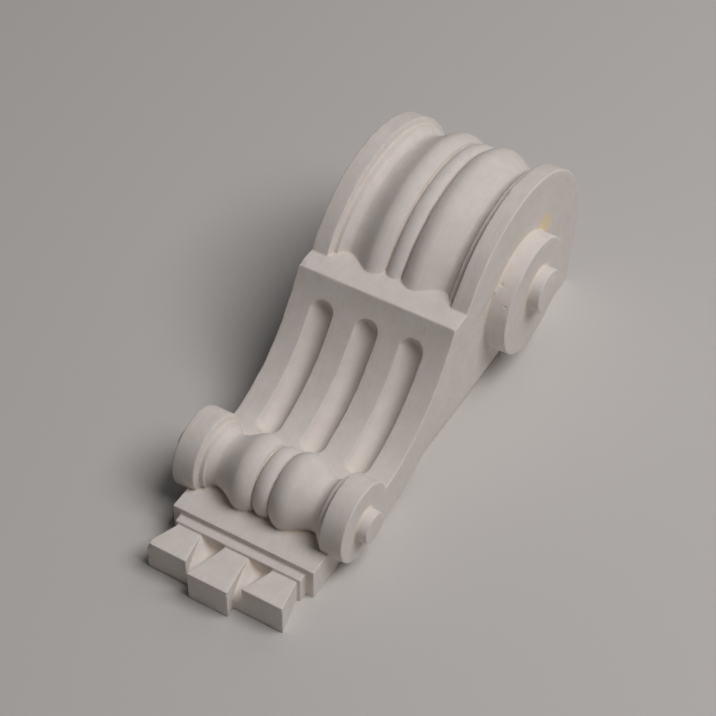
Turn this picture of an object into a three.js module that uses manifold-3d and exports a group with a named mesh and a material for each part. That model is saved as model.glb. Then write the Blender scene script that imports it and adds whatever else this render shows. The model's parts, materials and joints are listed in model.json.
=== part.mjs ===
// A scroll corbel cast in plaster, lying on its flat back.
// Millimetres. X runs across the width, Y along the length towards the big scroll, Z off the back.
// Inside this file lengths along Y start at the front edge of the ledge, and the finished solid
// is moved so that the origin is the middle of the back.

import * as THREE from 'three';
import { mergeVertices } from 'three/addons/utils/BufferGeometryUtils.js';
import Module from 'manifold-3d';

// Widths, from the middle outwards
const FLANK_WIDTH = 140; // across the fluted face and the big cheeks
const CORE_WIDTH = 124; // across the plate and the body set back behind the flanks
const SIDE_STEP = 2; // the plain side under each flank's band stands back by this much
const SIDE_LIFT = 18; // of that side's lower edge, off the back
const SMALL_CHEEK_WIDTH = 149; // across the cheeks of the small scroll
const REEL_WIDTH = 110.4; // between the inner walls of the cheeks, and across the fillet

// Ledge and fluted face
const LEDGE_HEIGHT = 119.8;
const FACE_BELLY_HIGH = new THREE.Vector2(0.127, 0.384); // shares of the face's run and fall
const FACE_BELLY_LOW = new THREE.Vector2(0.473, 0.988);
const FACE_FOOT_SINK = 2; // of the face's foot, behind the small scroll's rim
const FACE_FOOT_DROP = 5; // and below that scroll's axis
const BAND_DEPTH_HIGH = 44; // how far the flank stands back from the face, at the ledge
const BAND_DEPTH_LOW = 34; // and at the small scroll
const BAND_TURN = new THREE.Vector2(-0.75, 0.62); // where it goes in under the disc, in disc radii
const HEEL_LENGTH = 81; // of the flank along the back, up to the foot's end
const FLUTE_COUNT = 3; // with lands between them as wide as the flutes
const FLUTE_DEPTH = 8;
const FLUTE_TOP_MARGIN = 19; // along the face, from the ledge
const FLUTE_FOOT_MARGIN = 8; // along the face, from the small scroll

// Big scroll
const BIG_SETBACK = 113.5; // of its axis, behind the ledge's front edge
const BIG_HEIGHT = 62.5; // of its axis, off the back
const BIG_RADIUS = 107; // of the rim where it comes down to the foot
const BIG_SWELL = 3.5; // more radius where the rim reaches the ledge
const FOOT_HEIGHT = 22;
const DISC_OFFSET = new THREE.Vector2(-7.5, 13); // of the eye disc, from the scroll's axis
const DISC_RADIUS = 51;
const DISC_STAND = 16; // off the flank
const BOSS_OFFSET = new THREE.Vector2(4, 7.5); // of the boss, from the disc's middle
const BOSS_RADIUS = 18.5;
const BOSS_STAND = 10.5; // off the disc

// Small scroll
const SMALL_SETBACK = 141; // of its axis, before the ledge's front edge
const SMALL_HEIGHT = 42;
const SMALL_RADIUS = 33;
const SMALL_BOSS_RADIUS = 13;
const SMALL_BOSS_STAND = 9.5;

// Section of both reels, measured down from the rim
const FILLET_DEPTH = 5.3; // narrow flat along the foot of each cheek's wall
const FILLET_WIDTH = 6;
const HOLLOW_DEPTH = 11;
const HOLLOW_CURVE = [[0.23, 0.18], [0.44, 0.58], [0.61, 0.9], [0.76, 1], [0.9, 0.82], [1, 0.6]];
const TORUS_OFFSET = 18; // of each torus's crest, from the middle
const TORUS_EDGE_DEPTH = 4.2;
const TORUS_SHOULDER = new THREE.Vector2(0.36, 0.36); // shares of the torus's inner width and depth
const BEAD_HALF_WIDTH = 6.4;
const BEAD_DEPTH = 3.8;
const BEAD_EDGE_DEPTH = 5.2;
const BEAD_FLAT = 0.7; // share of the bead's half width before it rounds over
const GROOVE_DEPTH = 7;
const GROOVE_WIDTH = 1.3;

// Plate, fillet and drops at the narrow end
const PLATE_REACH = 51; // from the small scroll's axis to the plate's front edge
const PLATE_HEIGHT = 29.6;
const STEP_REACH = 7.8; // of the fillet, before the plate
const STEP_HEIGHT = 24.5;
const DROP_SPACING = 42;
const DROP_ROOT_WIDTH = 21;
const DROP_END_WIDTH = 35.6;
const DROP_ROOT_HEIGHT = 21.9;
const DROP_END_HEIGHT = 29;
const DROP_LENGTH = 31;
const MIDDLE_DROP_LENGTH = 39.6;
const WEB_ROOT_HEIGHT = 13; // of the plaster left between the drops
const WEB_END_HEIGHT = 9;

// Fineness of the facets
const FACE_STEPS = 14;
const RIM_STEPS = 30;
const BIG_SEGMENTS = 46;
const SMALL_SEGMENTS = 30;
const BOSS_SEGMENTS = 24;
const TORUS_STEPS = 12;
const BEAD_STEPS = 3;
const FLUTE_SIDES = 12;
const BURIED = 4; // how far a joined form runs on inside its neighbour
const BALL_FIT = 0.99; // keeps the facets of a flute's round end off those of its length

const PLASTER = new THREE.MeshStandardMaterial({ color: 0xd9d1c3, roughness: 0.85, metalness: 0 });

const wasm = await Module();
wasm.setup();

function solid(geometry) {
  geometry.deleteAttribute('normal');
  geometry.deleteAttribute('uv');
  const merged = mergeVertices(geometry, 1e-4);
  return new wasm.Manifold(new wasm.Mesh({
    numProp: 3,
    vertProperties: new Float32Array(merged.attributes.position.array),
    triVerts: new Uint32Array(merged.index.array),
  }));
}

// Extrudes an outline of (Y, Z) points across the width, from one X to another.
const ACROSS = new THREE.Matrix4().makeBasis(
  new THREE.Vector3(0, 1, 0),
  new THREE.Vector3(0, 0, 1),
  new THREE.Vector3(1, 0, 0),
);

function acrossWidth(outline, from, to) {
  const shape = new THREE.Shape(outline);
  const geometry = new THREE.ExtrudeGeometry(shape, { depth: to - from, bevelEnabled: false });
  geometry.applyMatrix4(ACROSS);
  geometry.translate(from, 0, 0);
  return solid(geometry);
}

function roundAcross(centre, radius, from, to, segments) {
  const geometry = new THREE.CylinderGeometry(radius, radius, to - from, segments);
  geometry.rotateZ(Math.PI / 2);
  geometry.translate((from + to) / 2, centre.x, centre.y);
  return solid(geometry);
}

function point(y, z) {
  return new THREE.Vector2(y, z);
}

const bigAxis = point(BIG_SETBACK, BIG_HEIGHT);
const smallAxis = point(-SMALL_SETBACK, SMALL_HEIGHT);
const discCentre = bigAxis.clone().add(DISC_OFFSET);
const bossCentre = discCentre.clone().add(BOSS_OFFSET);

// The rim of the big scroll winds outwards from the foot, over the top, to the ledge.
const ledgeAngle = Math.PI - Math.asin((LEDGE_HEIGHT - BIG_HEIGHT) / (BIG_RADIUS + BIG_SWELL));
const footAngle = Math.asin((FOOT_HEIGHT - BIG_HEIGHT) / BIG_RADIUS);
const footEnd = BIG_SETBACK + BIG_RADIUS * Math.cos(footAngle);

function swellAt(angle) {
  const share = (angle - footAngle) / (ledgeAngle - footAngle);
  return BIG_SWELL * THREE.MathUtils.clamp(share, 0, 1);
}

function bigRim(depth) {
  return Array.from({ length: RIM_STEPS + 1 }, (_, i) => {
    const angle = THREE.MathUtils.lerp(footAngle, ledgeAngle, i / RIM_STEPS);
    const radius = BIG_RADIUS - depth + swellAt(angle);
    return point(Math.cos(angle), Math.sin(angle)).multiplyScalar(radius).add(bigAxis);
  });
}

// The face falls from the ledge in a hollow curve and runs into the side of the small scroll.
const faceTop = point(0, LEDGE_HEIGHT);
const faceFoot = point(SMALL_RADIUS - FACE_FOOT_SINK, -FACE_FOOT_DROP).add(smallAxis);
const faceRun = faceFoot.clone().sub(faceTop);
const face = new THREE.CubicBezierCurve(
  faceTop,
  FACE_BELLY_HIGH.clone().multiply(faceRun).add(faceTop),
  FACE_BELLY_LOW.clone().multiply(faceRun).add(faceTop),
  faceFoot,
);

// A point of the face moved square to it: positive depths go into the body.
function besideFace(share, depth) {
  const along = face.getTangentAt(share);
  return point(-along.y, along.x).multiplyScalar(depth).add(face.getPointAt(share));
}

// The core fills the reels from inside, and its ledge is flat right back to the big reel.
function coreOutline() {
  const inside = BIG_RADIUS + BIG_SWELL - HOLLOW_DEPTH - BURIED;
  const ledgeBack = BIG_SETBACK - Math.sqrt(inside ** 2 - (LEDGE_HEIGHT - BIG_HEIGHT) ** 2);
  return [
    point(-SMALL_SETBACK - PLATE_REACH, 0),
    point(footEnd, 0),
    point(footEnd, FOOT_HEIGHT),
    ...bigRim(HOLLOW_DEPTH + BURIED).filter((p) => p.y > LEDGE_HEIGHT || p.x > BIG_SETBACK),
    point(ledgeBack, LEDGE_HEIGHT),
    ...face.getSpacedPoints(FACE_STEPS),
    smallAxis,
    point(-SMALL_SETBACK - BURIED, PLATE_HEIGHT),
    point(-SMALL_SETBACK - PLATE_REACH, PLATE_HEIGHT),
  ];
}

// The flank stands proud of the core: a band behind the face that grows towards the big scroll,
// winds in under the eye disc, and carries the rim down to the foot.
function flankOutline() {
  const bandBack = Array.from({ length: FACE_STEPS }, (_, i) => {
    const share = 1 - i / (FACE_STEPS - 1);
    return besideFace(share, THREE.MathUtils.lerp(BAND_DEPTH_HIGH, BAND_DEPTH_LOW, share));
  });
  return [
    point(faceFoot.x - BURIED, 0),
    ...bandBack.map((p) => point(p.x, Math.max(p.y, 0))).filter((p) => p.x > faceFoot.x),
    BAND_TURN.clone().multiplyScalar(DISC_RADIUS).add(discCentre),
    discCentre,
    point(footEnd - HEEL_LENGTH, 0),
    point(footEnd, 0),
    ...bigRim(0),
    ...face.getSpacedPoints(FACE_STEPS),
    point(faceFoot.x - BURIED, faceFoot.y),
  ];
}

// Under the band the side is plain, and its lower edge is cut back clear of the wall.
function sideOutline() {
  return [
    point(smallAxis.x, SIDE_LIFT),
    point(footEnd - HEEL_LENGTH, SIDE_LIFT),
    discCentre,
    BAND_TURN.clone().multiplyScalar(DISC_RADIUS).add(discCentre),
    ...face.getSpacedPoints(FACE_STEPS),
    smallAxis,
  ];
}

// Half of the reels' section, from the middle to the cheek: bead, groove, torus, hollow, fillet.
function reelSection() {
  const half = REEL_WIDTH / 2;
  const torusEdge = BEAD_HALF_WIDTH + GROOVE_WIDTH;
  const hollowEdge = half - FILLET_WIDTH;
  const bead = new THREE.QuadraticBezierCurve(
    point(0, BEAD_DEPTH),
    point(BEAD_HALF_WIDTH * BEAD_FLAT, BEAD_DEPTH),
    point(BEAD_HALF_WIDTH, BEAD_EDGE_DEPTH),
  );
  const torus = new THREE.SplineCurve([
    point(torusEdge, TORUS_EDGE_DEPTH),
    point(
      THREE.MathUtils.lerp(torusEdge, TORUS_OFFSET, TORUS_SHOULDER.x),
      TORUS_EDGE_DEPTH * TORUS_SHOULDER.y,
    ),
    point(TORUS_OFFSET, 0),
    ...HOLLOW_CURVE.map(([along, down]) => point(
      THREE.MathUtils.lerp(TORUS_OFFSET, hollowEdge, along),
      HOLLOW_DEPTH * down,
    )),
  ]);
  return [
    ...bead.getPoints(BEAD_STEPS),
    point(BEAD_HALF_WIDTH + GROOVE_WIDTH / 2, GROOVE_DEPTH),
    ...torus.getPoints(TORUS_STEPS),
    point(hollowEdge, FILLET_DEPTH),
    point(half + BURIED, FILLET_DEPTH),
  ];
}

// Both reels are turned from that section; the big one also grows with its rim.
function reel(axis, radius, segments, swell) {
  const section = reelSection();
  const across = [
    ...section.map((p) => point(radius - p.y, -p.x)).reverse(),
    ...section.slice(1).map((p) => point(radius - p.y, p.x)),
  ];
  const profile = [point(0, across[0].y), ...across, point(0, across.at(-1).y)];
  const geometry = new THREE.LatheGeometry(profile, segments);
  geometry.rotateZ(-Math.PI / 2);
  const spot = geometry.attributes.position;
  for (let i = 0; i < spot.count; i += 1) {
    const growth = 1 + swell(Math.atan2(spot.getZ(i), spot.getY(i))) / radius;
    spot.setXYZ(i, spot.getX(i), spot.getY(i) * growth, spot.getZ(i) * growth);
  }
  geometry.translate(0, axis.x, axis.y);
  return solid(geometry);
}

// One flute, cut along the face by a round tool with a ball at either end.
function flute(x) {
  const width = FLANK_WIDTH / (2 * FLUTE_COUNT + 1);
  const radius = (width * width / 4 + FLUTE_DEPTH * FLUTE_DEPTH) / (2 * FLUTE_DEPTH);
  const length = face.getLength();
  const from = (FLUTE_TOP_MARGIN + width / 2) / length;
  const to = 1 - (FLUTE_FOOT_MARGIN + width / 2) / length;
  const line = Array.from({ length: FACE_STEPS + 1 }, (_, i) => {
    const spot = besideFace(THREE.MathUtils.lerp(from, to, i / FACE_STEPS), FLUTE_DEPTH - radius);
    return new THREE.Vector3(x, spot.x, spot.y);
  });
  const circle = new THREE.Shape().absarc(0, 0, radius, 0, 2 * Math.PI);
  const sweep = new THREE.ExtrudeGeometry(circle, {
    extrudePath: new THREE.CatmullRomCurve3(line),
    steps: FACE_STEPS,
    curveSegments: FLUTE_SIDES / 2,
  });
  const ball = (end) => {
    const geometry = new THREE.SphereGeometry(radius * BALL_FIT, FLUTE_SIDES, FLUTE_SIDES / 2);
    geometry.translate(end.x, end.y, end.z);
    return solid(geometry);
  };
  return solid(sweep).add(ball(line[0])).add(ball(line.at(-1)));
}

// One drop: its sides flare and its top rises from the root to the end.
function drop(x, length) {
  const root = -SMALL_SETBACK - PLATE_REACH - STEP_REACH;
  const behind = root + BURIED;
  const plan = new THREE.Shape([
    point(x - DROP_END_WIDTH / 2, root - length),
    point(x + DROP_END_WIDTH / 2, root - length),
    point(x + DROP_ROOT_WIDTH / 2, root),
    point(x + DROP_ROOT_WIDTH / 2, behind),
    point(x - DROP_ROOT_WIDTH / 2, behind),
    point(x - DROP_ROOT_WIDTH / 2, root),
  ]);
  const prism = new THREE.ExtrudeGeometry(plan, { depth: 2 * DROP_END_HEIGHT, bevelEnabled: false });
  prism.translate(0, 0, -DROP_END_HEIGHT);
  const side = acrossWidth([
    point(root - length, 0),
    point(behind, 0),
    point(behind, DROP_ROOT_HEIGHT),
    point(root, DROP_ROOT_HEIGHT),
    point(root - length, DROP_END_HEIGHT),
  ], x - DROP_END_WIDTH, x + DROP_END_WIDTH);
  return solid(prism).intersect(side);
}

function narrowEnd() {
  const plateEdge = -SMALL_SETBACK - PLATE_REACH;
  const stepEdge = plateEdge - STEP_REACH;
  const step = acrossWidth([
    point(stepEdge, 0),
    point(plateEdge + BURIED, 0),
    point(plateEdge + BURIED, STEP_HEIGHT),
    point(stepEdge, STEP_HEIGHT),
  ], -REEL_WIDTH / 2, REEL_WIDTH / 2);
  const web = acrossWidth([
    point(stepEdge - DROP_LENGTH, 0),
    point(stepEdge + BURIED, 0),
    point(stepEdge + BURIED, WEB_ROOT_HEIGHT),
    point(stepEdge - DROP_LENGTH, WEB_END_HEIGHT),
  ], -DROP_SPACING, DROP_SPACING);
  return step.add(web)
    .add(drop(0, MIDDLE_DROP_LENGTH))
    .add(drop(-DROP_SPACING, DROP_LENGTH))
    .add(drop(DROP_SPACING, DROP_LENGTH));
}

// The flank, cheeks, eye disc and bosses of one side: side is -1 or 1.
function cheek(side) {
  const ends = (a, b) => (side > 0 ? [a, b] : [-b, -a]);
  const inner = REEL_WIDTH / 2;
  const outer = FLANK_WIDTH / 2;
  const disc = outer + DISC_STAND;
  const smallOuter = SMALL_CHEEK_WIDTH / 2;
  return acrossWidth(flankOutline(), ...ends(inner, outer))
    .add(roundAcross(discCentre, DISC_RADIUS, ...ends(inner + BURIED, disc), BIG_SEGMENTS))
    .add(roundAcross(bossCentre, BOSS_RADIUS, ...ends(outer, disc + BOSS_STAND), BOSS_SEGMENTS))
    .add(roundAcross(smallAxis, SMALL_RADIUS, ...ends(inner, smallOuter), SMALL_SEGMENTS))
    .add(roundAcross(
      smallAxis,
      SMALL_BOSS_RADIUS,
      ...ends(inner + BURIED, smallOuter + SMALL_BOSS_STAND),
      BOSS_SEGMENTS,
    ));
}

// What the big reel would reach below the back is cut off flat.
function belowBack() {
  const across = 2 * FLANK_WIDTH;
  const geometry = new THREE.BoxGeometry(across, 4 * BIG_RADIUS, 2 * BIG_RADIUS);
  geometry.translate(0, BIG_SETBACK, -BIG_RADIUS);
  return solid(geometry);
}

function corbel() {
  const side = FLANK_WIDTH / 2 - SIDE_STEP;
  let cast = acrossWidth(coreOutline(), -CORE_WIDTH / 2, CORE_WIDTH / 2)
    .add(acrossWidth(sideOutline(), -side, side))
    .add(reel(bigAxis, BIG_RADIUS, BIG_SEGMENTS, swellAt))
    .subtract(belowBack())
    .add(reel(smallAxis, SMALL_RADIUS, SMALL_SEGMENTS, () => 0))
    .add(cheek(-1))
    .add(cheek(1))
    .add(narrowEnd());
  const pitch = 2 * FLANK_WIDTH / (2 * FLUTE_COUNT + 1);
  for (let i = 0; i < FLUTE_COUNT; i += 1) {
    cast = cast.subtract(flute((i - (FLUTE_COUNT - 1) / 2) * pitch));
  }
  const { numProp, vertProperties, triVerts } = cast.getMesh();
  const geometry = new THREE.BufferGeometry();
  geometry.setAttribute('position', new THREE.BufferAttribute(vertProperties, numProp));
  geometry.setIndex(new THREE.BufferAttribute(triVerts, 1));
  geometry.computeVertexNormals();
  const mesh = new THREE.Mesh(geometry, PLASTER);
  mesh.name = 'corbel';
  return mesh;
}

const bracket = new THREE.Group();
const piece = corbel();
const tip = -SMALL_SETBACK - PLATE_REACH - STEP_REACH - MIDDLE_DROP_LENGTH;
piece.position.y = -(tip + BIG_SETBACK + BIG_RADIUS) / 2;
bracket.add(piece);

export default bracket;
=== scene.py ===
import json
import math

import bmesh
import bpy
import numpy as np
from bpy.props import FloatProperty, FloatVectorProperty, IntProperty, PointerProperty
from mathutils import Matrix, Vector, kdtree

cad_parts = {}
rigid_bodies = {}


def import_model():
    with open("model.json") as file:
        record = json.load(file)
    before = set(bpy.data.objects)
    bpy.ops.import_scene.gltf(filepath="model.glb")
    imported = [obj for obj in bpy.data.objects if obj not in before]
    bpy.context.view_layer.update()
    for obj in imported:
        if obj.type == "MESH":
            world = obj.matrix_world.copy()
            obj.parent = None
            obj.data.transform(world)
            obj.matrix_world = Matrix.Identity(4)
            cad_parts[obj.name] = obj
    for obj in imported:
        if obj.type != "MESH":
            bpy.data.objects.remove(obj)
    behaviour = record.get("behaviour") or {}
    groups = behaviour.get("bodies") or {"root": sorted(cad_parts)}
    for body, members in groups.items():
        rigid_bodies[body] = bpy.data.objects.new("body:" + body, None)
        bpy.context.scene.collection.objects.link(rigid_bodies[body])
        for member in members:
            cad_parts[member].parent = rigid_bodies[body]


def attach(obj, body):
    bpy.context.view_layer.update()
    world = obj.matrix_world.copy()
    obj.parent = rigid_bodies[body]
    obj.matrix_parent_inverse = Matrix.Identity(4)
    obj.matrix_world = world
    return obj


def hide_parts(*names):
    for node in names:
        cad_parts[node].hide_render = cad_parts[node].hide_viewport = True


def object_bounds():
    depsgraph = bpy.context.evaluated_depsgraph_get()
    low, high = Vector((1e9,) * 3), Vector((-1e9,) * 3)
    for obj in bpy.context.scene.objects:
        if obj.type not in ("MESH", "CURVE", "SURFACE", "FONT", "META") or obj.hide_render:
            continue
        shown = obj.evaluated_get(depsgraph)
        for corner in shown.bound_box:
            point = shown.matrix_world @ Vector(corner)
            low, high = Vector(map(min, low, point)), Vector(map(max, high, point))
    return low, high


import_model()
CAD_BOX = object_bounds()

bl_info = {
    "name": "Plaster scroll bracket",
    "version": (1, 0, 0),
    "blender": (4, 5, 0),
    "location": "3D View > Sidebar > Bracket",
    "description": "Builds a cast plaster scroll bracket lying on its back, with its stage",
    "category": "Add Mesh",
}

MM = 0.001
AWAY = 0.00945  # the ledge's front edge lies this far along Y from the frame's origin
BURIED = 4 * MM  # how far a form runs into its neighbour, so that the remesh joins them
BAND_TURN = np.array([-0.75, 0.62])  # the way from the disc's centre to where the band leaves it
DISC_OFFSET = np.array([-7.5, 13]) * MM  # from the big scroll's axis to the disc's centre
BOSS_OFFSET = np.array([4, 7.5]) * MM  # from the disc's centre to the boss's
# The face's two handles, as shares of its run in Y and in Z from the ledge down to its foot.
FACE_HANDLES = np.array([[0.127, 0.384], [0.473, 0.988]])
FACE_SINK, FACE_DROP = 2 * MM, 5 * MM  # its foot inside the small scroll, and below its axis
# How the big scroll's radius grows along its rim: the turn in degrees, and the share of its swell.
RIM_GROWTH = [
    (-22, 0.0), (-10, 0.11), (0, 0.33), (10, 0.5),
    (25, 0.565), (45, 0.57), (90, 0.74), (149, 1.0),
]
RIM_STEPS = 150
# The reels' section as shares across and down: from the groove up to a torus's crest, and from the
# crest down the hollow and up to the fillet.
TORUS_CLIMB = [(0, 1), (0.18, 0.66), (0.39, 0.37), (0.68, 0.1), (1, 0)]
HOLLOW_FALL = [
    (0.11, 0.055), (0.22, 0.22), (0.335, 0.44), (0.45, 0.65),
    (0.56, 0.825), (0.67, 0.95), (0.78, 1), (0.895, 0.86), (1, 0.6),
]
REEL_RUN_ON = math.radians(8)  # how far the big reel's ends run on into the body
BIG_THICK, SMALL_THICK = 40 * MM, 24 * MM  # of the two reels, below their rims
REEL_STEP, FLUTE_STEP = 1.0 * MM, 0.8 * MM  # between the slices of a swept form
FLUTE_END = 1.0004  # a little over 1, so that the ends of a flute's tool keep a tiny flat
DROP_SLICES = 12
DROP_FLARE = 1.15  # over 1: a drop's sides curve outwards towards its end
# Places in millimetres that are worn or chipped: X, Y, Z, how wide and how deep.
WORN = [
    (-60, -222, 27, 6, 2.2),
    (-60, -222, 12, 4, 1.0),
    (-69, 12, 119, 5, 0.9),
    (-69, 30, 119, 4, 0.5),
    (69, 11, 119, 3, 0.5),
    (73, 79, 111.5, 2.2, 0.7),
    (81.5, 70, 99, 1.6, 0.7),
    (70, 147, 161.5, 2.0, 0.4),
    (18, -230, 26, 3, 0.7),
    (60, -221, 28, 3, 0.6),
    (-62, -192, 29, 3, 0.7),
    (66, -190, 29, 3, 0.6),
]
# Size and seed of the wide waves, the small waves and the worn patches along the edges.
WIDE_WAVES, SMALL_WAVES, WORN_PATCHES = (26 * MM, 3), (8 * MM, 4), (9 * MM, 5)
ROUNDING = 90  # smoothing steps whose effect shows where the recesses and edges are
FULL_RECESS, FULL_EDGE = 1.2 * MM, 0.9 * MM  # what they move where either counts in full
CLEARANCE = 0.01 * MM  # the cast stays this far inside the CAD box

# Scale, detail and roughness of the plaster's noises.
BRUSH, CHALK, CLOUDS = (420.0, 3.0, 0.6), (75.0, 4.0, 0.65), (24.0, 3.0, 0.6)
GRAIN, PITS, RAGGED = (900.0, 3.0, 0.6), (260.0, 2.0, 0.5), (160.0, 2.0, 0.5)
# How quickly the strokes change along their length, against 1 across it.
STROKE_ALONG, STROKE_ROUND = 0.09, 0.006
STAIN_PLACE = (0.070, 0.1575, 0.1105)
STAIN_EDGE = (0.0125, 0.0195)  # from its middle: where it starts to fade, and where it is gone
STAIN_RAGGED = 0.008

FLOOR_REACH = 4
ROOM_COLOUR = (0.93, 0.96, 1.0)
KEY_LIGHT = ((1.75, 0.25, 3.12), 2.1)  # place and size
FAR_LIGHT = ((0.45, 2.52, 2.52), 2.2)
FAR_SHARE = 0.14  # of the key light's power
CAMERA_PLACE = (0.517362, -0.907620, 1.154882)
CAMERA_RIGHT = (0.859058, 0.511760, 0.011048)
CAMERA_DOWN = (0.376843, -0.617681, -0.690260)
CAMERA_AHEAD = (-0.346423, 0.597137, -0.723477)
CAMERA_LENS, CAMERA_SENSOR = 96.84, 36


def length(name, description, millimetres):
    return FloatProperty(
        name=name, description=description, default=millimetres * MM, unit="LENGTH", precision=4
    )


def count(name, description, default, low=1):
    return IntProperty(name=name, description=description, default=default, min=low)


def share(name, description, default):
    return FloatProperty(name=name, description=description, default=default, subtype="FACTOR")


def tone(name, description, default):
    return FloatVectorProperty(
        name=name, description=description, default=default, size=3, min=0, max=1, subtype="COLOR"
    )


class BodySizes(bpy.types.PropertyGroup):
    """Body, flanks and flutes"""

    flank: length("Flank width", "Across the fluted face and the big cheeks", 140)
    core: length("Core width", "Across the plate and the body behind the flanks", 124)
    ledge: length("Ledge height", "Of the ledge off the back", 119.8)
    band_high: length("Band at the ledge", "How deep the flank's band is at the ledge", 44)
    band_low: length("Band at the small scroll", "How deep it is at its narrow end", 34)
    side: length("Side width", "Across the plain sides under the bands", 136)
    side_lift: length("Side lift", "Of the plain sides' lower edge off the back", 18)
    foot: length("Foot height", "Of the flat end under the big scroll", 29.5)
    heel: length("Heel length", "Of the flank along the back, up to the foot", 79.5)
    flutes: count("Flutes", "Number of flutes in the face", 3)
    flute_depth: length("Flute depth", "Of each flute, square to the face", 8)
    flute_top: length("Top margin", "From the ledge to the flutes, along the face", 19)
    flute_foot: length("Foot margin", "From the flutes to the small scroll", 8)


class ScrollSizes(bpy.types.PropertyGroup):
    """Scrolls, discs and bosses"""

    big_setback: length("Big scroll setback", "Of its axis behind the ledge's edge", 113.5)
    big_height: length("Big scroll height", "Of its axis off the back", 62.5)
    big_radius: length("Big scroll radius", "Of its rim at the foot", 103.2)
    big_swell: length("Big scroll swell", "More radius where its rim meets the ledge", 7.3)
    small_setback: length("Small scroll setback", "Of its axis before the ledge's edge", 141)
    small_height: length("Small scroll height", "Of its axis off the back", 42)
    small_radius: length("Small scroll radius", "Of its cheeks and reel", 33)
    small_cheeks: length("Small cheeks", "Across the cheeks of the small scroll", 149)
    disc_radius: length("Disc radius", "Of the eye disc on each flank", 51)
    disc_stand: length("Disc stand", "Of the disc off the flank", 16)
    boss_radius: length("Boss radius", "Of the boss on the disc", 18.5)
    boss_stand: length("Boss stand", "Of the boss off the disc", 10.5)
    small_boss_radius: length("Small boss radius", "Of the small scroll's boss", 13)
    small_boss_stand: length("Small boss stand", "Of that boss off its cheek", 9.5)


class ReelSizes(bpy.types.PropertyGroup):
    """Section of the reels"""

    width: length("Reel width", "Between the tops of the cheeks' inner walls", 110.4)
    lean: length("Wall lean", "How far each cheek's inner wall leans in down to the fillet", 1.5)
    fillet_depth: length("Fillet depth", "Of the flat along each cheek, below the rim", 5.5)
    fillet_width: length("Fillet width", "Of that flat", 3.9)
    hollow: length("Hollow depth", "Of the two hollows, below the rim", 11)
    torus: length("Torus offset", "Of each torus's crest, from the middle", 18.5)
    torus_depth: length("Torus depth", "Of its crest, below the rim", 0.9)
    torus_edge: length("Torus edge", "Depth of the torus where it meets the groove", 5.2)
    bead_half: length("Half bead", "Half the width of the middle bead", 6.5)
    bead: length("Bead depth", "Of the bead's crest, below the rim", 3.8)
    bead_fall: length("Bead fall", "From the bead's crest to its edges", 3.9)
    groove: length("Groove depth", "Of the groove beside the bead", 10.2)
    groove_width: length("Groove width", "Of that groove", 1.7)


class NarrowEndSizes(bpy.types.PropertyGroup):
    """Plate, fillet and drops"""

    reach: length("Plate reach", "From the small scroll's axis to the plate's edge", 51)
    plate: length("Plate height", "Of the plate off the back", 29.6)
    step_reach: length("Fillet reach", "Of the fillet before the plate", 7.8)
    step: length("Fillet height", "Of the fillet off the back", 24.5)
    drops: count("Drops", "Number of drops under the plate", 3)
    spacing: length("Drop spacing", "From drop to drop", 42)
    root_width: length("Root width", "Of a drop at the fillet", 21)
    end_width: length("End width", "Of a drop at its end", 35.6)
    root_height: length("Root height", "Of a drop at the fillet", 21.9)
    end_height: length("End height", "Of a drop at its end", 29)
    drop: length("Drop length", "Of the outer drops", 31)
    middle_drop: length("Middle drop", "Length of the middle drop", 39.6)
    web_root: length("Web at the root", "Height of the plaster between drops, at the fillet", 12.5)
    web_end: length("Web at the end", "Its height at the drops' ends", 10.3)
    web_rise: length("Web rise", "How far its hollow top climbs the drops' sides at the root", 10)


class PlasterLook(bpy.types.PropertyGroup):
    """Plaster and its wear"""

    ivory: tone("Ivory", "Colour of the open plaster", (0.745, 0.698, 0.650))
    pale: tone("Pale", "Colour where the brush left it chalkier", (0.800, 0.757, 0.715))
    drab: tone("Drab", "Colour of the faint streaks and clouds", (0.640, 0.590, 0.520))
    # Painted shade: the warm, darker colour that the recesses are tinted towards, standing in for
    # their shade and warm bounce light.
    recess_shade: tone("Warm", "Colour in the recesses", (0.800, 0.710, 0.560))
    stain: tone("Stain", "Colour of the ochre stain by the disc", (0.900, 0.740, 0.440))
    roughness: share("Roughness", "Of the plaster", 0.78)
    grid: length("Grid", "Size of the cells that the cast is formed in", 0.6)
    waviness: length("Waviness", "Height of the hand-worked unevenness", 0.22)
    wear: length("Wear", "How much the most worn edges have lost", 0.5)
    faces: count("Triangles", "Most triangles that the cast keeps", 190000, 1000)


class StageLook(bpy.types.PropertyGroup):
    """Floor and lights"""

    floor: tone("Floor", "Colour of the plain floor", (0.635, 0.625, 0.605))
    warmth: tone("Warmth", "Colour of the lights", (1.0, 0.957, 0.955))
    key: FloatProperty(
        name="Key light", description="Power of the large light", default=80.5, unit="POWER"
    )
    fill: FloatProperty(name="Fill", description="Strength of the even light", default=0.03)


def settings(name):
    return getattr(bpy.context.scene, name)


def mesh_object(name, corners, faces):
    mesh = bpy.data.meshes.new(name)
    mesh.from_pydata([tuple(c) for c in corners], [], [tuple(f) for f in faces])
    mesh.validate()
    work = bmesh.new()
    work.from_mesh(mesh)
    bmesh.ops.remove_doubles(work, verts=work.verts, dist=1e-6)
    bmesh.ops.recalc_face_normals(work, faces=work.faces)
    work.to_mesh(mesh)
    work.free()
    piece = bpy.data.objects.new(name, mesh)
    bpy.context.scene.collection.objects.link(piece)
    return piece


def across(name, outline, low, high):
    """A solid with one (Y, Z) outline from X low to X high."""
    outline = [tuple(p) for p in outline]
    n = len(outline)
    corners = [(x, y, z) for x in (low, high) for y, z in outline]
    walls = [(i, (i + 1) % n, n + (i + 1) % n, n + i) for i in range(n)]
    return mesh_object(name, corners, [range(n), range(n, 2 * n), *walls])


def on_side(side, low, high):
    """Two distances from the middle as X values on one side of it, the lower value first."""
    return sorted((side * low, side * high))


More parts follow.
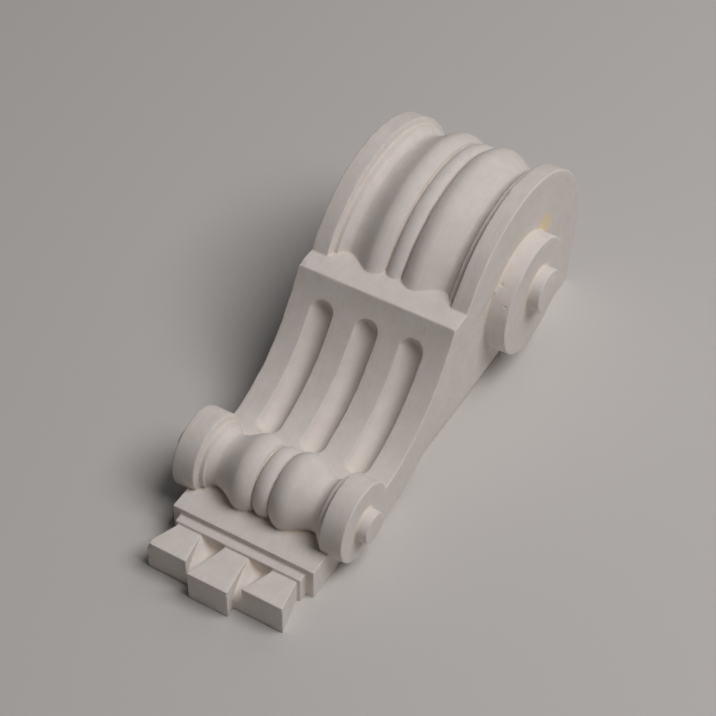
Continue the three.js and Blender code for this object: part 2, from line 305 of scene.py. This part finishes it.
def turned(name, centre, profile, segments=160):
    """A solid turned about an axis along X, from (X, radius) points that start and end on it."""
    corners, faces = [], []
    y, z = centre
    turns = np.linspace(0, 2 * math.pi, segments, endpoint=False)
    for x, radius in profile:
        corners += [(x, y + radius * math.cos(t), z + radius * math.sin(t)) for t in turns]
    for i in range(len(profile) - 1):
        for j in range(segments):
            k = (j + 1) % segments
            a, b = i * segments, (i + 1) * segments
            faces.append((a + j, a + k, b + k, b + j))
    return mesh_object(name, corners, faces)


def bezier(points, steps):
    a, b, c, d = (np.array(p) for p in points)
    t = np.linspace(0, 1, steps + 1)[:, None]
    return (1 - t) ** 3 * a + 3 * (1 - t) ** 2 * t * b + 3 * (1 - t) * t**2 * c + t**3 * d


def distances(line):
    """How far along the line each of its points lies."""
    return np.r_[0, np.cumsum(np.linalg.norm(np.diff(line, axis=0), axis=1))]


def even(line, steps):
    """The same line with its points at equal distances."""
    line = np.array(line)
    along = distances(line)
    spots = np.linspace(0, along[-1], steps + 1)
    return np.stack([np.interp(spots, along, line[:, i]) for i in range(line.shape[1])], 1)


def smooth_through(points, steps):
    """A smooth line through the points, with the given steps in each span."""
    p = np.array(points)
    p = np.vstack([2 * p[0] - p[1], p, 2 * p[-1] - p[-2]])
    line = []
    for a, b, c, d in zip(p, p[1:], p[2:], p[3:]):
        t = np.linspace(0, 1, steps, endpoint=False)[:, None]
        squared, cubed = 2 * a - 5 * b + 4 * c - d, 3 * b - a - 3 * c + d
        line.append(0.5 * (2 * b + (c - a) * t + squared * t**2 + cubed * t**3))
    return np.vstack([*line, p[-2:-1]])


class Rim:
    """The line of the bracket in its side view, as (Y, Z) points."""

    def __init__(self):
        body, scroll = settings("bracket_body"), settings("bracket_scrolls")
        self.body, self.scroll = body, scroll
        self.big = np.array([AWAY + scroll.big_setback, scroll.big_height])
        self.small = np.array([AWAY - scroll.small_setback, scroll.small_height])
        turns = np.radians(np.linspace(-45, 90, 2000))
        self.foot_turn = np.interp(body.foot, self.on_rim(turns)[:, 1], turns)
        turns = np.radians(np.linspace(175, 90, 2000))
        self.ledge_turn = np.interp(body.ledge, self.on_rim(turns)[:, 1], turns)
        self.foot_end = self.on_rim(self.foot_turn)[0]
        self.disc = self.big + DISC_OFFSET
        self.boss = self.disc + BOSS_OFFSET
        top = np.array([AWAY, body.ledge])
        foot = self.small + np.array([scroll.small_radius - FACE_SINK, -FACE_DROP])
        run = foot - top
        high, low = FACE_HANDLES
        self.face = even(bezier([top, top + high * run, top + low * run, foot], 400), 120)

    def on_rim(self, turn, depth=0.0):
        """The big scroll's rim at a turn about its axis, or a line that deep below it."""
        growth = smooth_through(RIM_GROWTH, 8)
        grown = np.interp(np.degrees(turn), growth[:, 0], growth[:, 1])
        radius = self.scroll.big_radius - depth + self.scroll.big_swell * grown
        return self.big + np.stack([np.cos(turn), np.sin(turn)], -1) * np.expand_dims(radius, -1)

    def big_line(self, depth=0.0, run_on=0.0):
        """The rim from the foot to the ledge, run on past both by an angle."""
        turns = np.linspace(self.foot_turn - run_on, self.ledge_turn + run_on, RIM_STEPS + 1)
        return self.on_rim(turns, depth)

    def beside(self, line, depth):
        """The line moved square to itself: positive depths go into the body."""
        along = np.gradient(line, axis=0)
        along /= np.linalg.norm(along, axis=1)[:, None]
        return line + np.stack([-along[:, 1], along[:, 0]], 1) * np.reshape(depth, (-1, 1))


def core_outline(rim):
    """The body between the flanks, with its plate and flat ledge, sunk under the reels."""
    end = settings("bracket_narrow_end")
    plate = rim.small[0] - end.reach
    ledge = rim.body.ledge
    under_reel = rim.big_line(settings("bracket_reels").hollow + BURIED)
    falling = [p for p in under_reel if p[0] < rim.big[0]]
    ledge_back = np.interp(-ledge, [-z for y, z in falling], [y for y, z in falling])
    return [
        (plate, 0),
        (rim.foot_end, 0),
        (rim.foot_end, rim.body.foot),
        *(p for p in under_reel if p[0] >= rim.big[0] or p[1] > ledge),
        (ledge_back, ledge),
        *rim.face,
        rim.small,
        (rim.small[0] - BURIED, end.plate),
        (plate, end.plate),
    ]


def side_outline(rim):
    """The plain side under the band, which stays clear of the back."""
    lift = rim.body.side_lift
    return [
        (rim.small[0], lift),
        (rim.foot_end - rim.body.heel, lift),
        rim.disc,
        rim.disc + BAND_TURN * rim.scroll.disc_radius,
        *rim.face,
        rim.small,
    ]


def flank_outline(rim):
    """The band behind the face and the big cheek, which stands on the back at its heel."""
    body = rim.body
    back = rim.beside(rim.face, np.linspace(body.band_high, body.band_low, len(rim.face)))[::-1]
    back = [(y, max(z, 0)) for y, z in back if y > rim.face[-1][0]]
    return [
        (rim.face[-1][0] - BURIED, 0),
        *back,
        rim.disc + BAND_TURN * rim.scroll.disc_radius,
        rim.disc,
        (rim.foot_end - body.heel, 0),
        (rim.foot_end, 0),
        *rim.big_line(),
        *rim.face,
        (rim.face[-1][0] - BURIED, rim.face[-1][1]),
    ]


def reel_section():
    """The reels' section as (X, depth below the rim), from the middle to one cheek."""
    reel = settings("bracket_reels")
    half = reel.width / 2
    wall = half - reel.lean
    inner, edge = reel.bead_half + reel.groove_width, wall - reel.fillet_width
    t = np.linspace(0, math.pi / 2, 9)
    bead = np.stack([reel.bead_half * np.sin(t), reel.bead + reel.bead_fall * (1 - np.cos(t))], 1)
    crest, top, flat = reel.torus, reel.torus_depth, reel.fillet_depth
    rise, drop = reel.torus_edge - top, reel.hollow - top
    climb = [(inner + (crest - inner) * a, top + rise * b) for a, b in TORUS_CLIMB]
    fall = [(crest + (edge - crest) * a, top + drop * b) for a, b in HOLLOW_FALL]
    sunk = 0.4 * MM  # below the rim, so that the section ends inside the cheek
    return np.vstack([
        bead,
        [(reel.bead_half + reel.groove_width / 2, reel.groove)],
        smooth_through(climb + fall, 6),
        [(edge, flat), (wall, flat), (half, sunk), (half + BURIED, sunk)],
    ])


class Socket:
    """A value in a node tree. Arithmetic on it adds Math nodes."""

    def __init__(self, tree, output):
        self.tree, self.output = tree, output

    def __add__(self, other):
        return self.tree.maths("ADD", self, other)

    def __sub__(self, other):
        return self.tree.maths("SUBTRACT", self, other)

    def __rsub__(self, other):
        return self.tree.maths("SUBTRACT", other, self)

    def __mul__(self, other):
        return self.tree.maths("MULTIPLY", self, other)

    def __truediv__(self, other):
        return self.tree.maths("DIVIDE", self, other)

    def __pow__(self, other):
        return self.tree.maths("POWER", self, other)

    __radd__ = __add__


class Tree:
    """A node tree that is filled by one call for each node."""

    def __init__(self, tree):
        self.tree = tree

    def add(self, kind, setup=None, inputs=None, output=0):
        node = self.tree.nodes.new(kind)
        for name, value in (setup or {}).items():
            setattr(node, name, value)
        for key, value in (inputs or {}).items():
            socket = node.inputs[key] if isinstance(key, int) else next(
                s for s in node.inputs if key in (s.identifier, s.name) and s.enabled
            )
            if isinstance(value, Socket):
                self.tree.links.new(value.output, socket)
            else:
                socket.default_value = value
        if not node.outputs:
            return None
        outputs = [o for o in node.outputs if o.enabled]
        if isinstance(output, str):
            output = [o.name for o in outputs].index(output)
        return Socket(self, outputs[output])

    def maths(self, operation, *values):
        return self.add("ShaderNodeMath", {"operation": operation}, dict(enumerate(values)))


class ShapeTree(Tree):
    """A Geometry Nodes tree with named inputs, which ends in real faces and their material."""

    KINDS = {float: "NodeSocketFloat", int: "NodeSocketInt", bpy.types.Object: "NodeSocketObject"}

    def __init__(self, name, values):
        super().__init__(bpy.data.node_groups.new(name, "GeometryNodeTree"))
        face = self.tree.interface
        face.new_socket("Geometry", in_out="OUTPUT", socket_type="NodeSocketGeometry")
        face.new_socket("Geometry", in_out="INPUT", socket_type="NodeSocketGeometry")
        face.new_socket("Material", in_out="INPUT", socket_type="NodeSocketMaterial")
        self.values = values
        self.keys = {}
        for key, value in values.items():
            socket = face.new_socket(key, in_out="INPUT", socket_type=self.KINDS[type(value)])
            self.keys[key] = socket.identifier
        self.material = next(s.identifier for s in face.items_tree if s.name == "Material")
        self.entry = self.tree.nodes.new("NodeGroupInput")

    def given(self, name):
        return Socket(self, self.entry.outputs[name])

    def bake(self, source, name):
        """Runs the tree on the source object and returns the result as a plain mesh object."""
        real = self.add("GeometryNodeRealizeInstances", None, {"Geometry": self.last})
        done = self.add("GeometryNodeSetMaterial", None, {
            "Geometry": real, "Material": self.given("Material"),
        })
        leave = self.tree.nodes.new("NodeGroupOutput")
        self.tree.links.new(done.output, leave.inputs[0])
        modifier = source.modifiers.new(name, "NODES")
        modifier.node_group = self.tree
        modifier[self.material] = plaster()
        for key, value in self.values.items():
            modifier[self.keys[key]] = value
        seen = source.evaluated_get(bpy.context.evaluated_depsgraph_get())
        mesh = bpy.data.meshes.new_from_object(seen)
        source.modifiers.clear()
        piece = bpy.data.objects.new(name, mesh)
        bpy.context.scene.collection.objects.link(piece)
        bpy.data.objects.remove(source)
        return piece


def line_object(name, points, closed=False):
    curve = bpy.data.curves.new(name, "CURVE")
    curve.dimensions = "3D"
    spline = curve.splines.new("POLY")
    spline.points.add(len(points) - 1)
    for spot, p in zip(spline.points, points):
        spot.co = (*p, 1)
    spline.use_cyclic_u = closed
    piece = bpy.data.objects.new(name, curve)
    bpy.context.scene.collection.objects.link(piece)
    return piece


def scroll_reel(name, rim_line, section, closed=False):
    """Sweeps the section along a scroll's rim, which is drawn flat and then stood up on edge."""
    profile = line_object("section", section, closed=True)
    tree = ShapeTree(name, {"Section": profile, "Step": REEL_STEP})
    even_rim = tree.add("GeometryNodeResampleCurve", {"mode": "LENGTH"}, {
        "Curve": tree.given("Geometry"), "Length": tree.given("Step"),
    })
    drawn = tree.add("GeometryNodeObjectInfo", None, {"Object": tree.given("Section")}, "Geometry")
    swept = tree.add("GeometryNodeCurveToMesh", None, {
        "Curve": tree.add("GeometryNodeSetCurveNormal", {"mode": "Z_UP"}, {"Curve": even_rim}),
        "Profile Curve": drawn,
        "Fill Caps": True,
    })
    tree.last = tree.add("GeometryNodeTransform", None, {
        "Geometry": swept, "Rotation": (math.pi / 2, 0, math.pi / 2),
    })
    reel = tree.bake(line_object(name, [(y, z, 0) for y, z in rim_line], closed), name)
    bpy.data.objects.remove(profile)
    return reel


def flute_size(body):
    """Half the width of a flute, and the radius of its round hollow."""
    bands = 2 * body.flutes + 1
    half = body.flank / bands / 2
    return half, (half**2 + body.flute_depth**2) / (2 * body.flute_depth)


def flute_tools(path):
    """The tools that cut the flutes: one round-ended tube along the face, repeated across it."""
    body = settings("bracket_body")
    half, radius = flute_size(body)
    tree = ShapeTree("flute_tools", {
        "Flutes": body.flutes,
        "Pitch": 4 * half,
        "Radius": radius,
        "Step": FLUTE_STEP,
    })
    fine = tree.add("GeometryNodeResampleCurve", {"mode": "LENGTH"}, {
        "Curve": tree.given("Geometry"), "Length": tree.given("Step"),
    })
    gone = tree.add("GeometryNodeSplineParameter", None, None, "Length")
    whole = tree.add("GeometryNodeSplineLength", None, None, "Length")
    near = tree.maths("MINIMUM", gone, whole - gone) / tree.given("Radius")
    short = 1 - tree.maths("MINIMUM", near, 1.0)
    round_end = tree.maths("SQRT", FLUTE_END - short * short)
    tube = tree.add("GeometryNodeCurveToMesh", None, {
        "Curve": tree.add("GeometryNodeSetCurveRadius", None, {"Curve": fine, "Radius": 1.0}),
        "Profile Curve": tree.add("GeometryNodeCurvePrimitiveCircle", None, {
            "Resolution": 72, "Radius": tree.given("Radius"),
        }),
        "Scale": round_end,
        "Fill Caps": True,
    })
    first = (1 - tree.given("Flutes")) / 2 * tree.given("Pitch")
    row = tree.add("GeometryNodeMeshLine", None, {
        "Count": tree.given("Flutes"),
        "Start Location": tree.add("ShaderNodeCombineXYZ", None, {"X": first}),
        "Offset": tree.add("ShaderNodeCombineXYZ", None, {"X": tree.given("Pitch")}),
    })
    tree.last = tree.add("GeometryNodeInstanceOnPoints", None, {"Points": row, "Instance": tube})
    return tree.bake(line_object("flute_path", path), "flute_tools")


def drop_row(one, root):
    """Repeats one drop under the fillet; the middle one is longer."""
    end = settings("bracket_narrow_end")
    tree = ShapeTree("drop_row", {
        "Drops": end.drops,
        "Spacing": float(end.spacing),
        "Root": float(root),
        "Middle length": float(end.middle_drop / end.drop),
    })
    drops = tree.given("Drops")
    row = tree.add("GeometryNodeMeshLine", None, {
        "Count": drops,
        "Start Location": tree.add("ShaderNodeCombineXYZ", None, {
            "X": (1 - drops) / 2 * tree.given("Spacing"), "Y": tree.given("Root"),
        }),
        "Offset": tree.add("ShaderNodeCombineXYZ", None, {"X": tree.given("Spacing")}),
    })
    index = tree.add("GeometryNodeInputIndex")
    off_middle = tree.maths("ABSOLUTE", index - (drops - 1) / 2)
    middle = 1 - tree.maths("MINIMUM", off_middle, 1.0)
    stretch = tree.add("ShaderNodeCombineXYZ", None, {
        "X": 1.0, "Y": 1 + middle * (tree.given("Middle length") - 1), "Z": 1.0,
    })
    tree.last = tree.add("GeometryNodeInstanceOnPoints", None, {
        "Points": row, "Instance": tree.given("Geometry"), "Scale": stretch,
    })
    return tree.bake(one, "drops")


def value_noise(spots, size, seed):
    """Smooth noise from -1 to 1 at each spot, with features of the given size."""
    cells = 64
    lattice = np.random.default_rng(seed).random((cells, cells, cells)) * 2 - 1
    at = spots / size
    base = np.floor(at).astype(int)
    part = at - base
    ease = part * part * (3 - 2 * part)
    total = np.zeros(len(spots))
    for corner in np.ndindex(2, 2, 2):
        weight = np.prod(np.where(corner, ease, 1 - ease), axis=1)
        i, j, k = ((base + corner) % cells).T
        total += weight * lattice[i, j, k]
    return total


def read_corners(mesh):
    corners = np.empty(len(mesh.vertices) * 3)
    mesh.vertices.foreach_get("co", corners)
    return corners.reshape(-1, 3)


def read_normals(mesh):
    normals = np.empty(len(mesh.vertices) * 3, np.float32)
    mesh.vertex_normals.foreach_get("vector", normals)
    return normals.reshape(-1, 3).astype(float)


def write_corners(mesh, corners):
    mesh.vertices.foreach_set("co", corners.astype(np.float32).ravel())
    mesh.update()


def run(piece, kind, **values):
    """Puts one modifier on the piece, makes its result the piece's mesh, and removes it."""
    modifier = piece.modifiers.new(kind, kind)
    for name, value in values.items():
        setattr(modifier, name, value)
    seen = piece.evaluated_get(bpy.context.evaluated_depsgraph_get())
    mesh = bpy.data.meshes.new_from_object(seen)
    piece.modifiers.clear()
    old = piece.data
    piece.data = mesh
    bpy.data.meshes.remove(old)


def join(name, pieces):
    """One object from several closed forms, which the remesh then makes one solid."""
    work = bmesh.new()
    for piece in pieces:
        work.from_mesh(piece.data)
        bpy.data.objects.remove(piece)
    mesh = bpy.data.meshes.new(name)
    work.to_mesh(mesh)
    work.free()
    whole = bpy.data.objects.new(name, mesh)
    bpy.context.scene.collection.objects.link(whole)
    return whole


def plaster():
    return bpy.data.materials.get("plaster") or bpy.data.materials.new("plaster")


def paint_plaster(material):
    look = settings("bracket_plaster")
    material.use_nodes = True
    material.node_tree.nodes.clear()
    tree = Tree(material.node_tree)
    spot = tree.add("ShaderNodeTexCoord", None, None, "Object")

    def noise(scale, detail, roughness, vector=spot):
        return tree.add("ShaderNodeTexNoise", None, {
            "Vector": vector, "Scale": scale, "Detail": detail, "Roughness": roughness,
        })

    def ramp(value, low, high, out_low=0.0, out_high=1.0):
        return tree.add("ShaderNodeMapRange", {"interpolation_type": "SMOOTHSTEP"}, {
            "Value": value, "From Min": low, "From Max": high,
            "To Min": out_low, "To Max": out_high,
        })

    def mixed(factor, a, b):
        return tree.add("ShaderNodeMix", {"data_type": "RGBA"}, {
            "Factor_Float": factor, "A_Color": a, "B_Color": b,
        })

    def part(vector, axis):
        return tree.add("ShaderNodeSeparateXYZ", None, {"Vector": vector}, axis)

    def joined(x, y, z):
        return tree.add("ShaderNodeCombineXYZ", None, {"X": x, "Y": y, "Z": z})

    x, y, z = (part(spot, axis) for axis in "XYZ")
    recess, edge = (
        tree.add("ShaderNodeAttribute", {"attribute_name": name}, None, "Fac")
        for name in ("recess", "edge")
    )
    disc = Rim().disc
    off_y, off_z = y - float(disc[0]), z - float(disc[1])
    out = (off_y * off_y + off_z * off_z + 1e-6) ** 0.5  # the small term keeps it above zero
    facing = part(tree.add("ShaderNodeNewGeometry", None, None, "Normal"), "X")
    side = ramp(tree.maths("ABSOLUTE", facing), 0.6, 0.85)
    # Brush strokes run along the scrolls and the face, and round the discs on the flanks.
    along = noise(*BRUSH, joined(x, y * STROKE_ALONG, z * STROKE_ALONG))
    ring = joined(out, off_y / out * STROKE_ROUND, off_z / out * STROKE_ROUND)
    strokes = along * (1 - side) + noise(*BRUSH, ring) * side
    chalk = ramp(noise(*CHALK) * 0.6 + strokes * 0.4, 0.36, 0.64)
    drab = ramp(strokes * 0.5 + noise(*CLOUDS) * 0.5, 0.5, 0.68, 0.0, 0.3)
    colour = mixed(chalk, (*look.ivory, 1), (*look.pale, 1))
    colour = mixed(drab, colour, (*look.drab, 1))
    # Painted shade: the recesses are tinted warm and darker by the recess mask.
    colour = mixed(ramp(recess, 0.03, 0.8, 0.0, 0.75), colour, (*look.recess_shade, 1))
    # Edges lightened towards the pale colour: partly chalky rubbed plaster, partly painted
    # highlight along the arrises.
    colour = mixed(ramp(edge, 0.2, 0.9, 0.0, 0.5), colour, (*look.pale, 1))
    from_stain = joined(*(axis - place for axis, place in zip((x, y, z), STAIN_PLACE)))
    reach = tree.add(
        "ShaderNodeVectorMath", {"operation": "LENGTH"}, {"Vector": from_stain}, "Value"
    )
    stained = ramp(reach + noise(*RAGGED) * STAIN_RAGGED, *STAIN_EDGE, 1.0, 0.0)
    colour = mixed(stained * side * 0.8, colour, (*look.stain, 1))
    grain = noise(*GRAIN) * 0.3 + noise(*PITS) * 0.3 + strokes * 0.7
    shader = tree.add("ShaderNodeBsdfPrincipled", None, {
        "Base Color": colour,
        "Roughness": look.roughness,
        "Specular IOR Level": 0.3,
        "Normal": tree.add("ShaderNodeBump", None, {
            "Strength": 0.5, "Distance": 0.0006, "Height": grain,
        }),
    })
    tree.add("ShaderNodeOutputMaterial", None, {"Surface": shader})


class BRACKET_OT_body(bpy.types.Operator):
    """Makes the body, its flanks and the eye discs, and cuts the flutes"""

    bl_idname = "bracket.body"
    bl_label = "Body and flutes"

    def execute(self, context):
        rim = Rim()
        body, scroll, reel = rim.body, rim.scroll, settings("bracket_reels")
        pieces = [across("core", core_outline(rim), -body.core / 2, body.core / 2)]
        flank = flank_outline(rim)
        inner, outer = reel.width / 2, body.flank / 2
        disc, cheek = outer + scroll.disc_stand, scroll.small_cheeks / 2
        rounds = [
            (rim.disc, scroll.disc_radius, inner + BURIED, disc),
            (rim.boss, scroll.boss_radius, outer, disc + scroll.boss_stand),
            (rim.small, scroll.small_radius, inner, cheek),
            (rim.small, scroll.small_boss_radius, outer, cheek + scroll.small_boss_stand),
        ]
        pieces.append(across("side", side_outline(rim), -body.side / 2, body.side / 2))
        for side in (-1, 1):
            pieces.append(across("flank", flank, *on_side(side, inner, outer)))
            for centre, radius, low, high in rounds:
                low, high = on_side(side, low, high)
                profile = [(low, 0), (low, radius), (high, radius), (high, 0)]
                pieces.append(turned("round", centre, profile))
        whole = join("body", pieces)
        run(whole, "REMESH", mode="VOXEL", voxel_size=settings("bracket_plaster").grid)
        half, radius = flute_size(body)
        over = even(rim.beside(rim.face, body.flute_depth - radius), 240)
        along = distances(over)
        low = body.flute_top + half - radius
        high = along[-1] - body.flute_foot - half + radius
        path = [(0, y, z) for (y, z), s in zip(over, along) if low <= s <= high]
        tools = flute_tools(path)
        run(whole, "BOOLEAN", operation="DIFFERENCE", solver="MANIFOLD", object=tools)
        bpy.data.objects.remove(tools)
        whole["part"] = "body"
        return {"FINISHED"}


class BRACKET_OT_reels(bpy.types.Operator):
    """Sweeps the reels of the two scrolls from one section"""

    bl_idname = "bracket.reels"
    bl_label = "Reels of the scrolls"

    def execute(self, context):
        rim = Rim()
        half = reel_section()
        whole = np.vstack([half[::-1] * (-1, 1), half[1:]])
        turns = np.linspace(0, 2 * math.pi, 180, endpoint=False)
        circle = np.stack([np.cos(turns), np.sin(turns)], 1)
        small_rim = rim.small + rim.scroll.small_radius * circle
        for name, line, thick, closed in (
            ("big_reel", rim.big_line(run_on=REEL_RUN_ON), BIG_THICK, False),
            ("small_reel", small_rim, SMALL_THICK, True),
        ):
            section = [(-depth, x, 0) for x, depth in whole]
            section += [(-thick, whole[-1][0], 0), (-thick, whole[0][0], 0)]
            scroll_reel(name, line, section, closed)["part"] = name
        return {"FINISHED"}


class BRACKET_OT_narrow_end(bpy.types.Operator):
    """Makes the fillet, the drops and the plaster between them"""

    bl_idname = "bracket.narrow_end"
    bl_label = "Fillet and drops"

    def execute(self, context):
        end = settings("bracket_narrow_end")
        rim = Rim()
        plate = rim.small[0] - end.reach
        root = plate - end.step_reach
        half = settings("bracket_reels").width / 2
        inside = plate + BURIED
        outline = [(root, 0), (inside, 0), (inside, end.step), (root, end.step)]
        across("step", outline, -half, half)["part"] = "step"
        corners = []
        for i in range(DROP_SLICES + 1):
            corners += self.drop_slice(end, i / DROP_SLICES)
        corners += [(x, BURIED, z) for x, y, z in corners[:4]]  # the root, inside the fillet
        last = 4 * (DROP_SLICES + 1)
        faces = [(last - 4, last - 3, last - 2, last - 1), (last, last + 1, last + 2, last + 3)]
        for a, b in [(4 * i, 4 * i + 4) for i in range(DROP_SLICES)] + [(last, 0)]:
            faces += [(a + i, a + (i + 1) % 4, b + (i + 1) % 4, b + i) for i in range(4)]
        drop_row(mesh_object("drop", corners, faces), root)["part"] = "drops"
        for side in (-1, 1):
            self.web(side * end.spacing / 2, root, end)["part"] = "web"
        return {"FINISHED"}

    def drop_width(self, end, t):
        """The width of a drop at a share of its length, from 0 at its root to 1 at its end."""
        return end.root_width + (end.end_width - end.root_width) * t**DROP_FLARE

    def drop_slice(self, end, t):
        """The four corners of a drop's section at the same share."""
        half = self.drop_width(end, t) / 2
        y, height = -end.drop * t, end.root_height + (end.end_height - end.root_height) * t
        return [(-half, y, 0), (half, y, 0), (half, y, height), (-half, y, height)]

    def web(self, middle, root, end):
        """The hollow-topped plaster in one gap, a grid of heights over its floor."""
        rows, columns = 24, 24
        into_fillet, into_drops = 2 * MM, 1.5 * MM
        fade = 0.45  # of the climb: below 1, so that most of it goes near the drops' ends
        top, floor = [], []
        for i in range(rows + 1):
            t = i / rows
            y = root + into_fillet - t * (end.drop + into_fillet)
            gap = end.spacing - self.drop_width(end, t)
            for j in range(columns + 1):
                s = 2 * j / columns - 1
                rise = end.web_rise * (1 - t) ** fade * abs(s) ** 2
                z = end.web_root + (end.web_end - end.web_root) * t + rise
                x = middle + s * (gap / 2 + into_drops * (abs(s) > 0.99))
                top.append((x, y, z))
                floor.append((x, y, 0))
        n = len(top)
        wide = columns + 1
        faces = []
        for i in range(rows):
            for j in range(columns):
                for a in (i * wide + j, n + i * wide + j):
                    faces.append((a, a + 1, a + wide + 1, a + wide))
        loop = [
            *range(wide),
            *(i * wide + columns for i in range(1, rows + 1)),
            *(rows * wide + j for j in range(columns - 1, -1, -1)),
            *(i * wide for i in range(rows - 1, 0, -1)),
        ]
        faces += [(a, b, n + b, n + a) for a, b in zip(loop, loop[1:] + loop[:1])]
        return mesh_object("web", top + floor, faces)


class BRACKET_OT_cast(bpy.types.Operator):
    """Makes one cast of the forms, softens its edges and works its surface"""

    bl_idname = "bracket.cast"
    bl_label = "Cast and finish"

    def execute(self, context):
        look = settings("bracket_plaster")
        forms = [o for o in context.scene.objects if "part" in o]
        if len(forms) < 4:
            raise RuntimeError("The body, reels and narrow end have to be made first")
        cast = join("corbel_cast", forms)
        run(cast, "REMESH", mode="VOXEL", voxel_size=look.grid)
        run(cast, "SMOOTH", factor=0.5, iterations=2)
        sharp = read_corners(cast.data)
        normals = read_normals(cast.data)
        soft = cast.copy()
        soft.data = cast.data.copy()
        context.scene.collection.objects.link(soft)
        run(soft, "SMOOTH", factor=0.5, iterations=ROUNDING)
        bent = ((read_corners(soft.data) - sharp) * normals).sum(1)
        bpy.data.objects.remove(soft)
        # How deep in a recess each point lies; the material uses it to paint shade into the
        # recesses.
        recess = np.clip(bent / FULL_RECESS, 0, 1)
        # How far out on an edge each point lies; it wears the edges away, and in the material it
        # lightens them, partly as painted highlight.
        edges = np.clip(-bent / FULL_EDGE, 0, 1)
        waves = 0.75 * value_noise(sharp, *WIDE_WAVES) + 0.25 * value_noise(sharp, *SMALL_WAVES)
        patches = np.clip(value_noise(sharp, *WORN_PATCHES) + 0.15, 0, 1)
        uneven = look.waviness * waves - look.wear * edges * patches
        for x, y, z, wide, deep in WORN:
            away = np.linalg.norm(sharp - np.array([x, y, z]) * MM, axis=1) / (wide * MM)
            uneven -= deep * MM * np.clip(1 - away**2, 0, 1) ** 2
        corners = sharp + normals * uneven[:, None]
        low, high = np.array(CAD_BOX[0]) + CLEARANCE, np.array(CAD_BOX[1]) - CLEARANCE
        write_corners(cast.data, np.clip(corners, low, high))
        near = kdtree.KDTree(len(corners))
        for i, c in enumerate(corners):
            near.insert(c, i)
        near.balance()
        triangles = sum(len(p.vertices) - 2 for p in cast.data.polygons)
        run(cast, "DECIMATE", ratio=min(1, look.faces / triangles), use_collapse_triangulate=True)
        mesh = cast.data
        found = [near.find(v.co)[1] for v in mesh.vertices]
        for name, values in (("recess", recess), ("edge", edges)):
            mesh.attributes.new(name, "FLOAT", "POINT").data.foreach_set("value", values[found])
        mesh.polygons.foreach_set("use_smooth", np.ones(len(mesh.polygons), bool))
        mesh.materials.clear()
        mesh.materials.append(plaster())
        mesh.update()
        paint_plaster(plaster())
        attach(cast, "root")
        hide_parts("corbel")
        return {"FINISHED"}


class BRACKET_OT_stage(bpy.types.Operator):
    """Sets the floor, the lights and the camera"""

    bl_idname = "bracket.stage"
    bl_label = "Floor, lights and camera"

    def execute(self, context):
        look = settings("bracket_stage")
        signs = ((-1, -1), (1, -1), (1, 1), (-1, 1))
        corners = [(FLOOR_REACH * x, FLOOR_REACH * y, 0) for x, y in signs]
        floor = mesh_object("floor", corners, [range(4)])
        material = bpy.data.materials.new("floor")
        material.use_nodes = True
        shader = material.node_tree.nodes["Principled BSDF"]
        shader.inputs["Base Color"].default_value = (*look.floor, 1)
        shader.inputs["Roughness"].default_value = 0.9
        shader.inputs["Specular IOR Level"].default_value = 0.15
        floor.data.materials.append(material)

        self.area_light("key_light", *KEY_LIGHT, look.key)
        self.area_light("far_light", *FAR_LIGHT, look.key * FAR_SHARE)
        world = bpy.data.worlds.new("room")
        context.scene.world = world
        world.use_nodes = True
        background = world.node_tree.nodes["Background"]
        background.inputs["Color"].default_value = (*ROOM_COLOUR, 1)
        background.inputs["Strength"].default_value = look.fill
        context.scene.view_settings.view_transform = "Standard"

        camera = bpy.data.cameras.new("camera")
        camera.sensor_width = CAMERA_SENSOR
        camera.lens = CAMERA_LENS
        seat = bpy.data.objects.new("camera", camera)
        context.scene.collection.objects.link(seat)
        right, down, ahead = Vector(CAMERA_RIGHT), Vector(CAMERA_DOWN), Vector(CAMERA_AHEAD)
        turn = Matrix((right, -down, -ahead)).transposed().to_4x4()
        seat.matrix_world = Matrix.Translation(CAMERA_PLACE) @ turn
        context.scene.camera = seat
        return {"FINISHED"}

    def area_light(self, name, place, size, power):
        light = bpy.data.lights.new(name, "AREA")
        light.size, light.energy, light.color = size, power, settings("bracket_stage").warmth
        lamp = bpy.data.objects.new(name, light)
        bpy.context.scene.collection.objects.link(lamp)
        lamp.location = place
        lamp.rotation_euler = (-Vector(place)).to_track_quat("-Z", "Y").to_euler()


class BRACKET_PT_panel(bpy.types.Panel):
    bl_label = "Scroll bracket"
    bl_space_type = "VIEW_3D"
    bl_region_type = "UI"
    bl_category = "Bracket"

    def draw(self, context):
        for name, group in GROUPS.items():
            box = self.layout.box()
            box.label(text=group.__doc__)
            for key in group.__annotations__:
                box.prop(getattr(context.scene, name), key)
        for operator in OPERATORS:
            self.layout.operator(operator.bl_idname)


GROUPS = {
    "bracket_body": BodySizes,
    "bracket_scrolls": ScrollSizes,
    "bracket_reels": ReelSizes,
    "bracket_narrow_end": NarrowEndSizes,
    "bracket_plaster": PlasterLook,
    "bracket_stage": StageLook,
}
OPERATORS = [
    BRACKET_OT_body,
    BRACKET_OT_reels,
    BRACKET_OT_narrow_end,
    BRACKET_OT_cast,
    BRACKET_OT_stage,
]
CLASSES = [*GROUPS.values(), *OPERATORS, BRACKET_PT_panel]


def register():
    for cls in CLASSES:
        bpy.utils.register_class(cls)
    for name, group in GROUPS.items():
        setattr(bpy.types.Scene, name, PointerProperty(type=group))


def unregister():
    for name in GROUPS:
        delattr(bpy.types.Scene, name)
    for cls in reversed(CLASSES):
        bpy.utils.unregister_class(cls)


def main():
    register()
    bpy.ops.bracket.body()
    bpy.ops.bracket.reels()
    bpy.ops.bracket.narrow_end()
    bpy.ops.bracket.cast()
    bpy.ops.bracket.stage()


if __name__ == "__main__":
    main()
